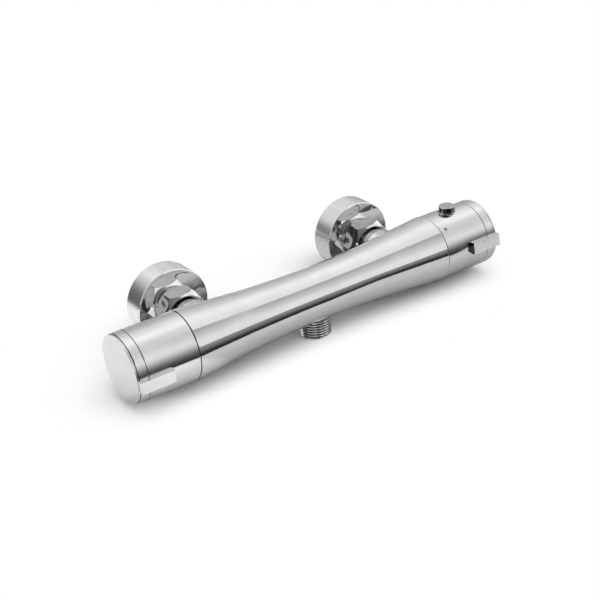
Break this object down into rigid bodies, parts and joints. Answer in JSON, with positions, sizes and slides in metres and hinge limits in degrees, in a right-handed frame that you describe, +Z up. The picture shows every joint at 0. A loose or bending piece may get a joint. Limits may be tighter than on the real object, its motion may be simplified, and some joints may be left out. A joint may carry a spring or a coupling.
{
  "type": "thermostatic shower valve",
  "caption": "Exposed thermostatic bar valve for a shower: waisted round bar, a lever handle on each end, threaded outlet below, wall unions with flanges behind.",
  "frame": {"origin": "on the wall plane, midway between the axes of the two wall threads", "axes": "+X along the bar from the hot end to the cold end, +Y into the wall, +Z up; the bar's axis is 67 mm in front of the wall and 6 mm above the wall threads"},
  "size_m": [0.28, 0.1073, 0.0548],
  "materials": {
    "chrome": "polished plating",
    "brass": "turned",
    "copper": "drawn copper",
    "stainless": "bright drawn",
    "grey_plastic": "moulded",
    "white_plastic": "moulded",
    "ceramic": "lapped",
    "rubber": "moulded"
  },
  "bodies": {
    "valve_body": {"body_casting": "chrome", "outlet_nipple": "chrome", "outlet_seal": "rubber", "flow_slide_ring": "white_plastic", "flow_stop_ring": "grey_plastic", "flow_cartridge_housing": "brass", "flow_ring_nut": "brass", "flow_disc_seal": "rubber", "fixed_ceramic_disc": "ceramic", "temperature_slide_ring": "white_plastic", "temperature_stop_ring": "grey_plastic", "thermostat_housing": "grey_plastic", "nose_o_ring": "rubber", "land_o_rings": "rubber", "thermostat_ring_nut": "brass", "return_spring": "stainless", "hot_tailpiece": "chrome", "hot_tail_seal": "rubber", "hot_filter_washer": "stainless", "hot_eccentric_union": "chrome", "hot_wall_flange": "chrome", "hot_flange_seal": "rubber", "hot_check_cage": "white_plastic", "hot_check_spring": "stainless", "cold_tailpiece": "chrome", "cold_tail_seal": "rubber", "cold_filter_washer": "stainless", "cold_eccentric_union": "chrome", "cold_wall_flange": "chrome", "cold_flange_seal": "rubber", "cold_check_cage": "white_plastic", "cold_check_spring": "stainless"},
    "flow_handle": {"flow_handle_sleeve": "chrome", "flow_end_ring": "chrome", "flow_end_disc": "chrome", "flow_lever": "chrome", "flow_handle_screw": "stainless", "flow_spindle": "brass", "moving_ceramic_disc": "ceramic"},
    "temperature_handle": {"temperature_handle_sleeve": "chrome", "temperature_end_ring": "chrome", "temperature_end_disc": "chrome", "temperature_lever": "chrome", "temperature_handle_screw": "stainless", "temperature_spindle": "brass", "button_guide": "chrome", "button_spring": "stainless"},
    "button": {"safety_button": "chrome"},
    "thermostat_core": {"adjusting_carrier": "grey_plastic", "overload_spring": "stainless", "overload_plate": "stainless", "wax_element": "copper", "mixing_shuttle": "grey_plastic"},
    "hot_nut": {"hot_union_nut": "chrome"},
    "cold_nut": {"cold_union_nut": "chrome"},
    "hot_poppet": {"hot_check_poppet": "white_plastic"},
    "cold_poppet": {"cold_check_poppet": "white_plastic"}
  },
  "joints": [
    {"name": "flow_handle_turn", "type": "hinge", "parent": "valve_body", "child": "flow_handle", "pos_m": [-0.115, -0.067, 0.006], "axis": [-1, 0, 0], "range_deg": [0, 90]},
    {"name": "temperature_handle_turn", "type": "hinge", "parent": "valve_body", "child": "temperature_handle", "pos_m": [0.115, -0.067, 0.006], "axis": [1, 0, 0], "range_deg": [-160, 60]},
    {"name": "safety_button_press", "type": "slide", "parent": "temperature_handle", "child": "button", "axis": [0, 0, -1], "range_m": [0, 0.0025], "stiffness_N_per_m": 400, "springref_m": -0.005, "deforming": ["button_spring"]},
    {"name": "thermostat_core_travel", "type": "slide", "parent": "valve_body", "child": "thermostat_core", "axis": [1, 0, 0], "range_m": [-0.00135, 0.00052], "deforming": ["return_spring"]},
    {"name": "hot_nut_turn", "type": "hinge", "parent": "valve_body", "child": "hot_nut", "pos_m": [-0.075, -0.0267, 0.006], "axis": [0, 1, 0], "continuous": true},
    {"name": "cold_nut_turn", "type": "hinge", "parent": "valve_body", "child": "cold_nut", "pos_m": [0.075, -0.0267, 0.006], "axis": [0, 1, 0], "continuous": true},
    {"name": "hot_poppet_lift", "type": "slide", "parent": "valve_body", "child": "hot_poppet", "axis": [0, -1, 0], "range_m": [0, 0.003], "stiffness_N_per_m": 60, "springref_m": -0.003, "deforming": ["hot_check_spring"]},
    {"name": "cold_poppet_lift", "type": "slide", "parent": "valve_body", "child": "cold_poppet", "axis": [0, -1, 0], "range_m": [0, 0.003], "stiffness_N_per_m": 60, "springref_m": -0.003, "deforming": ["cold_check_spring"]}
  ],
  "couplings": [
    {"joint": "thermostat_core_travel", "follows": "temperature_handle_turn", "m_per_rad": 0.00047746}
  ]
}
